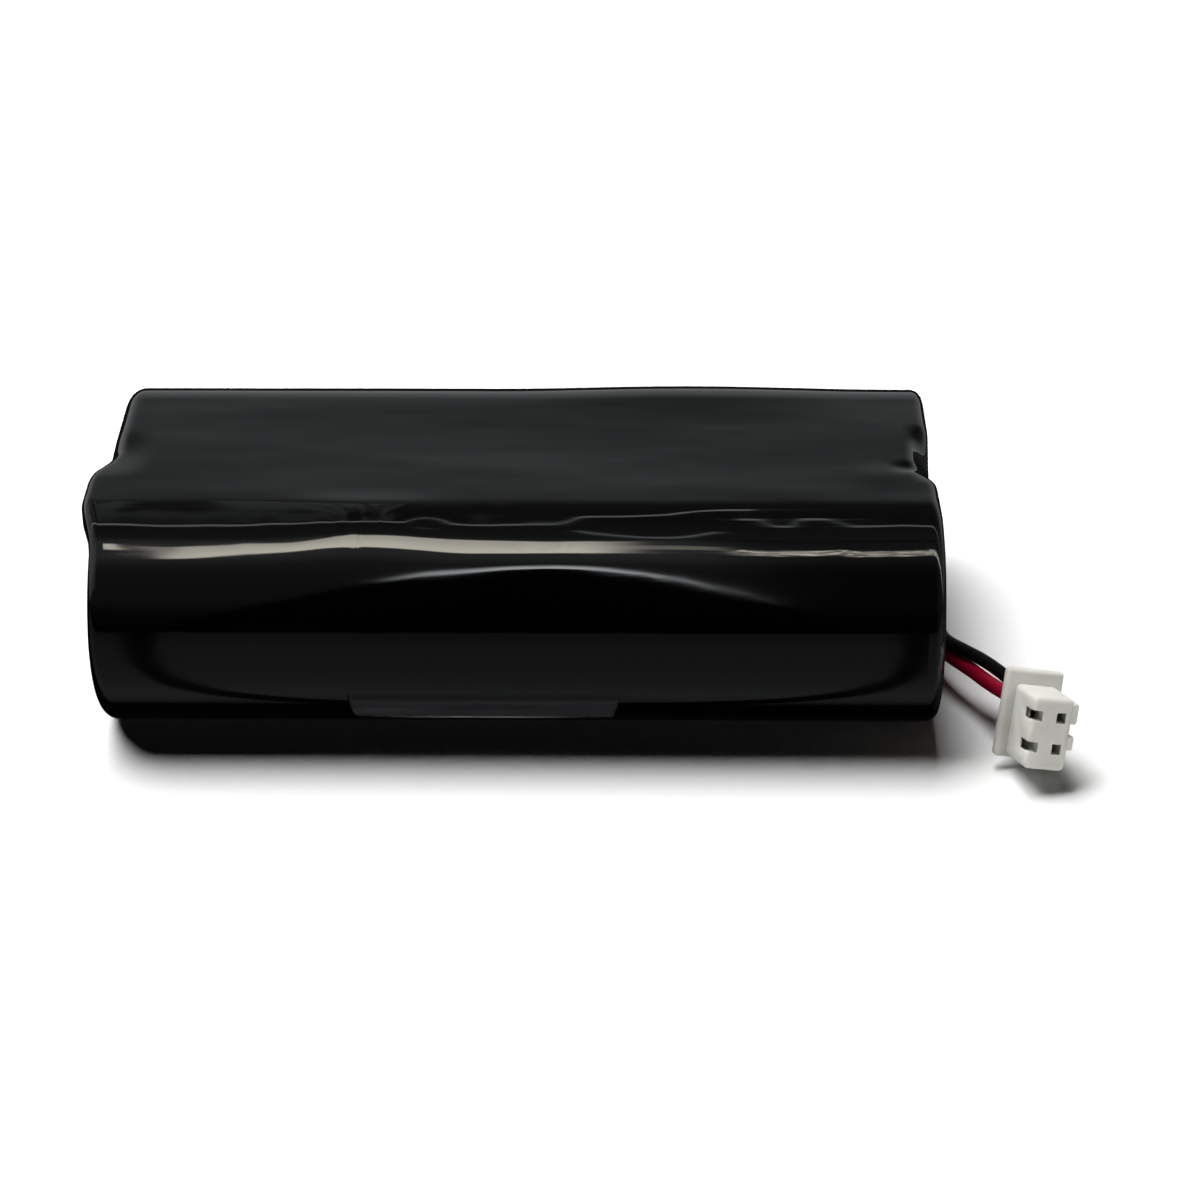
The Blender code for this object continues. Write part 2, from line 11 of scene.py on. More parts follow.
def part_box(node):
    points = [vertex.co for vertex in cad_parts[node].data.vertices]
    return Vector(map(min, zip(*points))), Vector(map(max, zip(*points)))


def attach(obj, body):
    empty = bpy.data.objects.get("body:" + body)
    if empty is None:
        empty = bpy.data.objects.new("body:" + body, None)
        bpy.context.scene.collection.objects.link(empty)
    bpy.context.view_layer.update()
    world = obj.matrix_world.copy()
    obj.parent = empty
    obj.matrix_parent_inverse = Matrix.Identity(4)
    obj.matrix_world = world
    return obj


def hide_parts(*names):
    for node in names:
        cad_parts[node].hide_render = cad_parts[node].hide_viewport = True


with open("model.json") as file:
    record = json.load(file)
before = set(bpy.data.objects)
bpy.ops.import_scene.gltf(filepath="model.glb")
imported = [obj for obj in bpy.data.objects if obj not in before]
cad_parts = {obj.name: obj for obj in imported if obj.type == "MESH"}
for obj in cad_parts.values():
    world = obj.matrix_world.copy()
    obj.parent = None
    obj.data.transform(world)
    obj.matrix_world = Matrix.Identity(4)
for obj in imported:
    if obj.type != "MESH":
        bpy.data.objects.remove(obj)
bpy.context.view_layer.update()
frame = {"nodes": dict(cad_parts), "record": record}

MM = 0.001

# The pack, as the CAD model has it, in millimetres
SLEEVE_LOW, SLEEVE_HIGH = [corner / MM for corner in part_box("outer_sleeve")]
HALF_LENGTH = SLEEVE_HIGH.x
AXIS_HEIGHT = SLEEVE_HIGH.z / 2
FILM_RADIUS = AXIS_HEIGHT
HALF_SPACING = SLEEVE_HIGH.y - FILM_RADIUS
FILM = 0.18
FILM_EDGE = 1.2

# Leads and plug, as the CAD model has them
BLACK_RADIUS = 0.53
RED_RADIUS = 0.61
PLUG_PLACE = (41.3, -22.15, 5.12)
PLUG_TURN = (-17.0, 11.5, 9.0)
COLUMN = 0.95
ROW = 1.25

# How far behind the plug's front a lead lines up with its cavity, and where it ends in it
LEAD_ARRIVAL = 7.1
LEAD_END = 5.15

BLACK_ROUTE = [
    (10.3, 0.95, 2.8), (15.0, 0.8, 2.8), (21.0, 0.7, 2.8), (26.5, 0.7, 3.0), (29.6, 0.8, 3.4),
    (31.2, 0.8, 3.8), (32.5, 0.45, 4.13), (33.4, -0.3, 4.29), (33.93, -1.35, 4.3),
    (34.22, -2.4, 4.17), (34.4, -3.4, 4.0), (34.65, -4.5, 3.87), (35.2, -5.8, 3.95),
    (36.3, -7.5, 4.15), (37.7, -9.2, 4.15), (39.1, -10.9, 3.85), (40.2, -13.0, 3.65),
]
RED_ROUTE = [
    (10.3, -0.95, 2.8), (15.0, -0.8, 2.8), (21.0, -0.7, 2.8), (26.5, -0.7, 3.0),
    (30.0, -0.65, 3.4), (31.6, -0.7, 3.55), (32.75, -1.05, 3.42), (33.6, -1.85, 3.14),
    (34.2, -3.0, 2.88), (34.63, -4.4, 2.73), (35.2, -5.8, 2.78), (35.95, -7.3, 2.93),
    (36.85, -9.1, 3.13), (37.8, -11.4, 3.45),
]

# The plug's boxes in its own frame: (low corner, high corner, rounding of the edges)
PLUG_BODY = ((-1.45, 0.0, -3.0), (1.9, 5.2, 2.8), 0.42)
PLUG_COLLAR = ((-2.35, 4.5, -3.2), (2.4, 5.5, 4.0), 0.36)
PLUG_UPPER_RIB = ((1.6, 0.05, 0.8), (2.34, 4.9, 2.5), 0.24)
PLUG_LOWER_RIB = ((1.6, 0.05, -1.3), (2.34, 4.9, -0.1), 0.24)

# The plug's cavities: (half width, half height, start, end), narrow at the front
CAVITY_STAGES = [(0.38, 0.42, -0.5, 1.1), (0.38, 0.62, 0.9, 4.9), (0.75, 0.75, 4.8, 6.0)]
WINDOW_SIDE = -2.0
WINDOW_DEPTH = 1.7
WINDOW_HALF_HEIGHT = 0.42
CUT_MARGIN = 0.5
SOFT_EDGE = 0.06
SOFT_EDGE_ANGLE = 50

# Camera: where it looks, from which side and how far away
CAMERA_TARGET = Vector((6.43, 0.0, 4.7)) * MM
CAMERA_AZIMUTH = math.radians(0.31)
CAMERA_ELEVATION = math.radians(28.63)
CAMERA_DISTANCE = 290.7 * MM
CAMERA_LENS = 104.6
CAMERA_SENSOR = 36.0
CAMERA_CLIP = 0.01

# Studio: places and sizes of the lights in metres, of the floor and backdrop in millimetres
FLOOR_HALF_SIZE = 560.0
BACKDROP_RADIUS = 480.0
SOFT_BOX_PLACE = (-0.32, 0.25, 1.0)
SOFT_BOX_SIZE = (1.05, 0.75)
SOFT_BOX_WATTS = 23.5
PLUG_LIGHT_PLACE = (0.40, -0.75, 0.45)
PLUG_LIGHT_SIZE = 0.3
PLUG_LIGHT_WATTS = 2.8

# Film mesh: steps round a side, across a flat, over a rolled end and down a lip
ARC_STEPS = 120
FLAT_STEPS = 46
LENGTH_STEP = 0.4
ROLL_STEPS = 9
LIP_STEPS = 7
LIP_REACH = 1.6
BULGE_START = 26.0

# The film's overlap tab: where it lies along the pack and how far round from the top
TAB_START = -12.9
TAB_END = 7.6
TAB_TOP = 111.0
TAB_EDGE = 131.0
TAB_STEPS = 24
TAB_COLUMNS = 60
TAB_FLARE = 0.5
TAB_FILM = 0.08

ROUTE_STEPS = 8
SHARP_ANGLE = 35.0
ALL_SMOOTH = 180.0


# ---------------------------------------------------------------- helpers

def new_object(name, mesh_or_curve):
    """Link data as a new object."""
    piece = bpy.data.objects.new(name, mesh_or_curve)
    bpy.context.scene.collection.objects.link(piece)
    return piece


def mesh_object(name, shape, sharp=SHARP_ANGLE):
    """Turn a bmesh in millimetres into an object in metres, shaded smooth."""
    bmesh.ops.recalc_face_normals(shape, faces=shape.faces)
    bmesh.ops.scale(shape, vec=(MM, MM, MM), verts=shape.verts)
    mesh = bpy.data.meshes.new(name)
    shape.to_mesh(mesh)
    shape.free()
    mesh.shade_smooth()
    mesh.set_sharp_from_angle(angle=math.radians(sharp))
    return new_object(name, mesh)


def smoothstep(low, high, value):
    """0 below low, 1 above high and smooth between them."""
    share = min(max((value - low) / (high - low), 0.0), 1.0)
    return share * share * (3 - 2 * share)


def hill(value, centre, half_width):
    """A smooth hill, 1 at its centre and 0 beyond its half width."""
    share = abs(value - centre) / half_width
    return 0.0 if share >= 1 else (1 + math.cos(math.pi * share)) / 2


def ripple(x, around, across_length, around_length, seed):
    """Smooth noise between -1 and 1 over the film, longer along the pack than around it."""
    return noise.noise(Vector((x / across_length, around / around_length, seed)))


# ---------------------------------------------------------------- camera and stage

def make_camera():
    """The camera, a little above the front and nearly square to it."""
    camera = new_object("camera", bpy.data.cameras.new("camera"))
    camera.data.lens = CAMERA_LENS
    camera.data.sensor_width = CAMERA_SENSOR
    camera.data.clip_start = CAMERA_CLIP
    back = Vector((math.sin(CAMERA_AZIMUTH) * math.cos(CAMERA_ELEVATION),
                   -math.cos(CAMERA_AZIMUTH) * math.cos(CAMERA_ELEVATION),
                   math.sin(CAMERA_ELEVATION)))
    camera.location = CAMERA_TARGET + back * CAMERA_DISTANCE
    camera.rotation_euler = (-back).to_track_quat("-Z", "Y").to_euler()
    bpy.context.scene.camera = camera


def backdrop_material():
    """A plain white glow."""
    look = bpy.data.materials.new("white_backdrop")
    look.use_nodes = True
    nodes = look.node_tree.nodes
    nodes.clear()
    glow = nodes.new("ShaderNodeEmission")
    glow.inputs["Color"].default_value = (1.0, 1.0, 1.0, 1.0)
    output = nodes.new("ShaderNodeOutputMaterial")
    look.node_tree.links.new(glow.outputs[0], output.inputs["Surface"])
    return look


def seen_by(piece, camera=False, diffuse=False, glossy=False, shadow=False):
    """Choose which rays see a piece of the stage."""
    piece.visible_camera = camera
    piece.visible_diffuse = diffuse
    piece.visible_glossy = glossy
    piece.visible_transmission = camera
    piece.visible_shadow = shadow


def make_stage():
    """A white floor and backdrop, seen directly but not mirrored in the film."""
    shape = bmesh.new()
    bmesh.ops.create_grid(shape, x_segments=1, y_segments=1, size=FLOOR_HALF_SIZE)
    floor = mesh_object("floor", shape)
    floor.data.materials.append(floor_material())
    seen_by(floor, camera=True, diffuse=True)
    shape = bmesh.new()
    bmesh.ops.create_uvsphere(shape, u_segments=48, v_segments=24, radius=BACKDROP_RADIUS)
    dome = mesh_object("backdrop", shape)
    dome.data.materials.append(backdrop_material())
    seen_by(dome, camera=True)


def floor_material():
    """A matte surface with the faintest mottling."""
    colour = (0.86, 0.86, 0.86)
    look, nodes, link, shader = principled("white_floor", colour, 0.9)
    shader.inputs["Specular IOR Level"].default_value = 0.0
    mottle = noise_node(nodes, link, 900.0, 4.0)
    tint = mix_colours(nodes, link, mottle, [c * 0.99 for c in colour], colour)
    link(tint, shader.inputs["Base Color"])
    return look


def area_light(name, place, watts):
    """An area light that faces the pack and isn't mirrored in the film."""
    light = bpy.data.lights.new(name, "AREA")
    light.energy = watts
    lamp = new_object(name, light)
    lamp.location = place
    lamp.rotation_euler = lamp.location.to_track_quat("Z", "Y").to_euler()
    lamp.visible_glossy = False
    return lamp


def make_lights():
    """One wide soft box overhead, and the room that the film mirrors."""
    box = area_light("soft_box", SOFT_BOX_PLACE, SOFT_BOX_WATTS)
    box.data.shape = "ELLIPSE"
    box.data.size, box.data.size_y = SOFT_BOX_SIZE
    make_room()
    bpy.context.scene.view_settings.view_transform = "Standard"


# The room as the film mirrors it: (degrees up from the front over the top, light)
ROOM_BANDS = [
    (-180, 0.02), (-150, 0.004), (-98, 0.002), (-90, 0.004), (-80, 0.14), (-70, 0.20),
    (-50, 0.17), (-15, 0.15), (-1.5, 0.10), (0.5, 0.004), (15, 0.02), (28, 0.08), (56, 0.10),
    (66, 0.16), (74, 0.36), (90, 0.36), (96, 0.12), (120, 0.05), (142, 0.05), (147, 0.10),
    (151.5, 0.17), (153.5, 0.21), (156, 0.28), (160, 0.35), (172, 0.40), (180, 0.50),
]
LAMP_LIGHT = 8.8
RIM_LIGHT = 8.0
LAMP_TINT = (1.0, 0.95, 0.82)
ROOM_TINT = (0.94, 0.98, 1.0)


class Sums:
    """Short names for the value nodes that the room's light is put together from."""

    def __init__(self, tree):
        self.tree = tree

    def number(self, operation, *values):
        """One sum of values, each a number or another node's output."""
        node = self.tree.nodes.new("ShaderNodeMath")
        node.operation = operation
        for socket, value in zip(node.inputs, values):
            if isinstance(value, (int, float)):
                socket.default_value = value
            else:
                self.tree.links.new(value, socket)
        return node.outputs[0]

    def add(self, first, second):
        return self.number("ADD", first, second)

    def times(self, first, *others):
        for other in others:
            first = self.number("MULTIPLY", first, other)
        return first

    def rise(self, low, high, value):
        """0 below low, 1 above high and smooth between them."""
        node = self.tree.nodes.new("ShaderNodeMapRange")
        node.interpolation_type = "SMOOTHSTEP"
        node.inputs["From Min"].default_value = low
        node.inputs["From Max"].default_value = high
        self.tree.links.new(value, node.inputs["Value"])
        return node.outputs[0]

    def fall(self, low, high, value):
        """1 below low, 0 above high and smooth between them."""
        return self.number("SUBTRACT", 1.0, self.rise(low, high, value))

    def window(self, low, high, soft, value):
        """1 between low and high, with soft edges."""
        return self.times(self.rise(low - soft, low, value), self.fall(high, high + soft, value))

    def noise(self, detail, x, y):
        """Smooth noise over two values."""
        place = self.tree.nodes.new("ShaderNodeCombineXYZ")
        self.tree.links.new(x, place.inputs["X"])
        self.tree.links.new(y, place.inputs["Y"])
        spread = self.tree.nodes.new("ShaderNodeTexNoise")
        spread.inputs["Scale"].default_value = 1.0
        spread.inputs["Detail"].default_value = detail
        self.tree.links.new(place.outputs[0], spread.inputs["Vector"])
        return spread.outputs["Fac"]

    def tinted(self, value, tint):
        """A colour as strong as the value."""
        node = self.tree.nodes.new("ShaderNodeVectorMath")
        node.operation = "SCALE"
        node.inputs[0].default_value = tint
        self.tree.links.new(value, node.inputs["Scale"])
        return node.outputs[0]

    def together(self, first, second):
        """Two colours added."""
        node = self.tree.nodes.new("ShaderNodeVectorMath")
        node.operation = "ADD"
        self.tree.links.new(first, node.inputs[0])
        self.tree.links.new(second, node.inputs[1])
        return node.outputs[0]


# In the functions of the room, across is how far a ray heads sideways, from -1 on the left to 1 on
# the right, and degrees is how far it has turned up from the front over the top.

def band_light(sums, degrees):
    """The plain light of each height of the room."""
    ramp_node = sums.tree.nodes.new("ShaderNodeValToRGB")
    ramp = ramp_node.color_ramp
    for number, (band, value) in enumerate(ROOM_BANDS):
        spot = (band + 180) / 360
        stop = ramp.elements[number] if number < 2 else ramp.elements.new(spot)
        stop.position = spot
        stop.color = (value, value, value, 1.0)
    place = sums.number("DIVIDE", sums.add(degrees, 180.0), 360.0)
    sums.tree.links.new(place, ramp_node.inputs["Fac"])
    return ramp_node.outputs["Color"]


def dark_front(sums, across, degrees):
    """Share of light left by the dark arch in front, and the arch's bright rim."""
    middle, right_half, left_half, height, shoulder = -0.018, 0.0889, 0.1147, 63.0, 1.8
    aside = sums.add(across, -middle)
    left = sums.number("LESS_THAN", aside, 0.0)
    half_width = sums.add(right_half, sums.times(left, left_half - right_half))
    share = sums.number("DIVIDE", sums.number("ABSOLUTE", aside), half_width)
    share = sums.number("MINIMUM", share, 1.0)
    top = sums.times(sums.number("SUBTRACT", 1.0, sums.number("POWER", share, shoulder)), height)
    above = sums.number("SUBTRACT", degrees, top)
    front = sums.rise(0.0, 0.8, degrees)
    shade = sums.times(front, sums.fall(-1.0, 0.3, above))
    rim = sums.times(sums.rise(-0.6, 0.2, above), sums.fall(0.4, 4.5, above),
                     sums.rise(-0.073, -0.048, across), sums.fall(0.002, 0.052, across), RIM_LIGHT)
    return sums.number("SUBTRACT", 1.0, shade), rim


def floor_lens(sums, across, degrees):
    """Share of light left by the dark outline around the mirrored floor."""
    middle, half_width, depth, inner, outer, dark = -0.024, 0.109, 88.0, 0.97, 1.16, 0.95
    share = sums.number("DIVIDE", sums.number("ABSOLUTE", sums.add(across, -middle)), half_width)
    down = sums.number("MAXIMUM", sums.number("DIVIDE", degrees, -depth), 0.0)
    reach = sums.add(sums.number("POWER", share, 3.0), sums.number("POWER", down, 3.0))
    outline = sums.times(sums.window(inner, outer, 0.05, reach), sums.fall(-2.0, 4.0, degrees))
    return sums.number("SUBTRACT", 1.0, sums.times(outline, dark))


def lamp_light(sums, across, degrees):
    """The long warm lamp overhead: wide on the left, fading to thin streaks on the right."""
    level = sums.add(degrees, sums.times(sums.fall(-0.132, -0.100, across), 6.5))
    cloth = sums.add(0.72, sums.times(sums.noise(3.0, sums.times(across, 500.0),
                                                 sums.times(degrees, 0.05)), 0.5))
    falloff = sums.add(1.15, sums.times(sums.rise(79.0, 93.0, level), -0.40))
    wide = sums.times(sums.window(79.5, 91.5, 1.2, level), sums.rise(-0.1300, -0.1255, across),
                      sums.fall(-0.012, 0.012, across), cloth, falloff)
    thin = sums.times(sums.window(84.0, 86.0, 2.0, degrees), sums.rise(-0.005, 0.010, across),
                      sums.fall(0.030, 0.046, across), 0.22)
    bend = sums.times(sums.add(sums.noise(2.0, sums.times(across, 130.0),
                                          sums.times(across, 20.0)), -0.5), 9.0)
    ragged = sums.add(degrees, bend)
    streak = sums.add(sums.times(sums.noise(3.0, sums.times(across, 420.0),
                                            sums.times(degrees, 0.5)), 8.0), -3.5)
    right = sums.times(sums.window(79.0, 83.5, 1.2, ragged), sums.rise(0.036, 0.046, across),
                       sums.number("MAXIMUM", streak, 0.08))
    blob = sums.times(sums.window(83.0, 87.0, 2.0, degrees),
                      sums.window(-0.1400, -0.1345, 0.0015, across), 1.1)
    return sums.times(sums.add(sums.add(wide, thin), sums.add(right, blob)), LAMP_LIGHT)


def panel_edges(sums, across, degrees):
    """Thin bright edges of the ceiling panels: a wavy one all along, and an arc on the right."""
    line_level, arc_level, arc_middle, arc_half, arc_sag = 111.5, 96.0, 0.0149, 0.0258, 7.0
    wave = sums.times(sums.add(sums.noise(2.0, sums.times(across, 45.0), sums.times(across, 9.0)),
                               -0.5), 5.0)
    climb = sums.add(sums.times(sums.rise(-0.024, -0.008, across), 12.0),
                     sums.times(sums.rise(-0.008, 0.042, across), 10.0))
    back = sums.times(sums.rise(0.0450, 0.0456, across), sums.fall(0.052, 0.058, across), 9.0)
    raised = sums.add(sums.times(climb, sums.fall(0.0450, 0.0456, across)), back)
    upper = sums.number("SUBTRACT", degrees, sums.add(sums.add(line_level, wave), raised))
    sag = sums.number("POWER", sums.times(sums.add(across, -arc_middle), 1 / arc_half), 2.0)
    lower = sums.number("SUBTRACT", degrees, sums.add(arc_level, sums.times(sag, arc_sag)))
    line = sums.times(sums.window(-0.6, 0.6, 0.8, upper), 1.6)
    arc = sums.times(sums.window(-0.5, 0.5, 0.8, lower),
                     sums.window(-0.0125, 0.0415, 0.001, across), 1.5)
    return sums.add(line, arc)


def floor_edge(sums, across, degrees):
    """A short bright line low in front, which shows just above the pack's lower outline."""
    return sums.times(sums.window(-123.0, -119.5, 1.5, degrees), sums.rise(-0.068, -0.045, across),
                      sums.fall(-0.030, -0.008, across), 0.9)


def ceiling_light(sums, across, degrees):
    """Uneven grey light between the back wall and the lamp, stronger on the left."""
    patches = sums.rise(0.40, 0.56, sums.noise(2.0, sums.times(across, 42.0),
                                               sums.times(degrees, 0.035)))
    lower = sums.times(sums.window(116.0, 145.0, 3.0, degrees), sums.fall(-0.05, -0.02, across))
    return sums.times(patches, lower, 0.20)


def make_room():
    """The surroundings as light by direction, seen only as reflections."""
    world = bpy.data.worlds.new("studio_room")
    bpy.context.scene.world = world
    world.use_nodes = True
    world.cycles_visibility.diffuse = False
    sums = Sums(world.node_tree)
    nodes = world.node_tree.nodes
    direction = nodes.new("ShaderNodeTexCoord").outputs["Generated"]
    split = nodes.new("ShaderNodeSeparateXYZ")
    world.node_tree.links.new(direction, split.inputs[0])
    across, depth, height = split.outputs
    degrees = sums.times(sums.number("ARCTAN2", height, sums.times(depth, -1.0)), 180 / math.pi)
    lit, rim = dark_front(sums, across, degrees)
    lens = floor_lens(sums, across, degrees)
    plain = nodes.new("ShaderNodeSeparateXYZ")
    world.node_tree.links.new(band_light(sums, degrees), plain.inputs[0])
    right_fade = sums.number("SUBTRACT", 1.0, sums.times(sums.rise(0.02, 0.06, across), 0.65,
                                                         sums.window(2.0, 94.0, 3.0, degrees)))
    room = sums.times(plain.outputs[0], lit, lens, right_fade)
    edge = panel_edges(sums, across, degrees)
    side = sums.add(sums.times(sums.rise(0.25, 0.75, sums.times(across, -1.0)),
                               sums.window(48.0, 172.0, 10.0, degrees), 0.40),
                    sums.times(sums.rise(0.30, 0.85, across), 0.08))
    room = sums.add(room, ceiling_light(sums, across, degrees))
    room = sums.add(room, floor_edge(sums, across, degrees))
    cool = sums.tinted(sums.add(sums.add(room, edge), sums.add(rim, side)), ROOM_TINT)
    warm = sums.tinted(lamp_light(sums, across, degrees), LAMP_TINT)
    world.node_tree.links.new(sums.together(cool, warm), nodes["Background"].inputs["Color"])


# ---------------------------------------------------------------- materials

def principled(name, colour, roughness, metallic=0.0):
    """A node material: returns it, its nodes, a link function and its Principled shader."""
    look = bpy.data.materials.new(name)
    look.use_nodes = True
    tree = look.node_tree
    shader = tree.nodes["Principled BSDF"]
    shader.inputs["Base Color"].default_value = (*colour, 1.0)
    shader.inputs["Roughness"].default_value = roughness
    shader.inputs["Metallic"].default_value = metallic

    def link(source, target):
        tree.links.new(source, target)

    return look, tree.nodes, link, shader


def object_place(nodes, link, stretch=(1.0, 1.0, 1.0)):
    """Object coordinates, stretched per axis so that noise can run along one of them."""
    place = nodes.new("ShaderNodeTexCoord").outputs["Object"]
    mapping = nodes.new("ShaderNodeMapping")
    mapping.inputs["Scale"].default_value = stretch
    link(place, mapping.inputs["Vector"])
    return mapping.outputs["Vector"]


def noise_node(nodes, link, scale, detail, stretch=(1.0, 1.0, 1.0)):
    """Noise in object space, as a value."""
    node = nodes.new("ShaderNodeTexNoise")
    node.inputs["Scale"].default_value = scale
    node.inputs["Detail"].default_value = detail
    link(object_place(nodes, link, stretch), node.inputs["Vector"])
    return node.outputs["Fac"]


def map_value(nodes, link, value, low, high, from_low=0.3, from_high=0.7):
    """Spread a noise value over a new range."""
    node = nodes.new("ShaderNodeMapRange")
    node.inputs["From Min"].default_value = from_low
    node.inputs["From Max"].default_value = from_high
    node.inputs["To Min"].default_value = low
    node.inputs["To Max"].default_value = high
    link(value, node.inputs["Value"])
    return node.outputs[0]


def mix_colours(nodes, link, value, first, second):
    """A colour between first and second, by a noise value."""
    node = nodes.new("ShaderNodeMix")
    node.data_type = "RGBA"
    node.inputs[6].default_value = (*first, 1.0)
    node.inputs[7].default_value = (*second, 1.0)
    link(map_value(nodes, link, value, 0.0, 1.0), node.inputs["Factor"])
    return node.outputs[2]


def add_bump(nodes, link, shader, height, distance, strength=1.0):
    """Bump from a height value, added on top of any bump already there."""
    bump = nodes.new("ShaderNodeBump")
    bump.inputs["Distance"].default_value = distance
    bump.inputs["Strength"].default_value = strength
    link(height, bump.inputs["Height"])
    earlier = shader.inputs["Normal"].links
    if earlier:
        link(earlier[0].from_socket, bump.inputs["Normal"])
    link(bump.outputs["Normal"], shader.inputs["Normal"])


def film_material():
    """Glossy black shrink film: fine draw lines along the pack, faint haze and scuffs."""
    look, nodes, link, shader = principled("black_film", (0.0004, 0.0004, 0.0005), 0.04)
    shader.inputs["IOR"].default_value = 1.5
    haze = noise_node(nodes, link, 260.0, 5.0, (0.35, 1.0, 1.0))
    scuffs = noise_node(nodes, link, 1500.0, 3.0, (0.08, 1.0, 1.0))
    rough = nodes.new("ShaderNodeMath")
    rough.operation = "ADD"
    link(map_value(nodes, link, haze, 0.022, 0.045), rough.inputs[0])
    link(map_value(nodes, link, scuffs, 0.0, 0.05, 0.62, 0.85), rough.inputs[1])
    link(rough.outputs[0], shader.inputs["Roughness"])
    tint = mix_colours(nodes, link, haze, (0.0003, 0.0003, 0.0004), (0.0006, 0.0006, 0.0007))
    link(tint, shader.inputs["Base Color"])
    add_bump(nodes, link, shader, noise_node(nodes, link, 900.0, 2.0, (0.12, 1.0, 1.0)), 0.0000035)
    return look


def tab_material():
    """The film where it laps over itself, dull, with painted reflection: a greyer base colour
    towards its loose lower edge.
    """
    look, nodes, link, shader = principled("film_tab", (0.0005, 0.0005, 0.0006), 0.12)
    height = nodes.new("ShaderNodeSeparateXYZ")
    link(object_place(nodes, link), height.inputs[0])
    # Painted reflection: the base colour goes from black to grey between 5.6 and 4.0 mm up, standing
    # in for light mirrored low on the tab.
    low = map_value(nodes, link, height.outputs["Z"], 0.0, 1.0, 0.0056, 0.0040)
    painted_reflection_mix = nodes.new("ShaderNodeMix")
    painted_reflection_mix.data_type = "RGBA"
    link(low, painted_reflection_mix.inputs["Factor"])
    cloud = noise_node(nodes, link, 300.0, 3.0, (0.3, 1.0, 1.0))
    painted_reflection_mix.inputs[6].default_value = (0.0006, 0.0006, 0.0007, 1.0)
    link(mix_colours(nodes, link, cloud, (0.026, 0.027, 0.029), (0.042, 0.043, 0.046)),
         painted_reflection_mix.inputs[7])
    link(painted_reflection_mix.outputs[2], shader.inputs["Base Color"])
    link(map_value(nodes, link, cloud, 0.10, 0.18), shader.inputs["Roughness"])
    return look


def lead_material(name, dark, light):
    """Soft wire insulation with a dull sheen and handling marks."""
    look, nodes, link, shader = principled(name, dark, 0.38)
    shader.inputs["Specular IOR Level"].default_value = 0.14
    grain = noise_node(nodes, link, 1400.0, 4.0)
    link(mix_colours(nodes, link, grain, dark, light), shader.inputs["Base Color"])
    link(map_value(nodes, link, grain, 0.30, 0.48), shader.inputs["Roughness"])
    add_bump(nodes, link, shader, grain, 0.00001)
    return look


def plug_material():
    """Off-white nylon: slightly translucent, with a moulding texture and uneven tone."""
    look, nodes, link, shader = principled("plug_polymer", (0.52, 0.515, 0.48), 0.5)
    cloud = noise_node(nodes, link, 350.0, 3.0)
    link(mix_colours(nodes, link, cloud, (0.49, 0.48, 0.435), (0.55, 0.545, 0.51)),
         shader.inputs["Base Color"])
    link(map_value(nodes, link, cloud, 0.42, 0.58), shader.inputs["Roughness"])
    shader.inputs["Subsurface Weight"].default_value = 0.25
    shader.inputs["Subsurface Radius"].default_value = (0.0006, 0.0005, 0.0004)
    shader.inputs["Subsurface Scale"].default_value = 1.0
    add_bump(nodes, link, shader, noise_node(nodes, link, 5200.0, 3.0), 0.000006)
    return look


def paper_material(name, dark, light):
    """Pressed insulating paper with visible fibres."""
    look, nodes, link, shader = principled(name, light, 0.85)
    fibres = noise_node(nodes, link, 2400.0, 6.0, (1.0, 0.25, 1.0))
    clouds = noise_node(nodes, link, 220.0, 3.0)
    link(mix_colours(nodes, link, clouds, dark, light), shader.inputs["Base Color"])
    link(map_value(nodes, link, fibres, 0.75, 0.95), shader.inputs["Roughness"])
    add_bump(nodes, link, shader, fibres, 0.00003)
    return look


def metal_material(name, dark, light, roughness, stretch):
    """Rolled or drawn metal with grain along one direction."""
    look, nodes, link, shader = principled(name, light, roughness, 1.0)
    grain = noise_node(nodes, link, 3000.0, 4.0, stretch)
    stain = noise_node(nodes, link, 180.0, 3.0)
    link(mix_colours(nodes, link, stain, dark, light), shader.inputs["Base Color"])
    link(map_value(nodes, link, grain, roughness * 0.8, roughness * 1.3),
         shader.inputs["Roughness"])
    add_bump(nodes, link, shader, grain, 0.000004)
    return look


def moulded_material(name, dark, light, roughness):
    """Moulded or coated plastic with a fine texture."""
    look, nodes, link, shader = principled(name, light, roughness)
    grain = noise_node(nodes, link, 2600.0, 4.0)
    cloud = noise_node(nodes, link, 240.0, 3.0)
    link(mix_colours(nodes, link, cloud, dark, light), shader.inputs["Base Color"])
    link(map_value(nodes, link, grain, roughness * 0.85, roughness * 1.15),
         shader.inputs["Roughness"])
    add_bump(nodes, link, shader, grain, 0.000008)
    return look


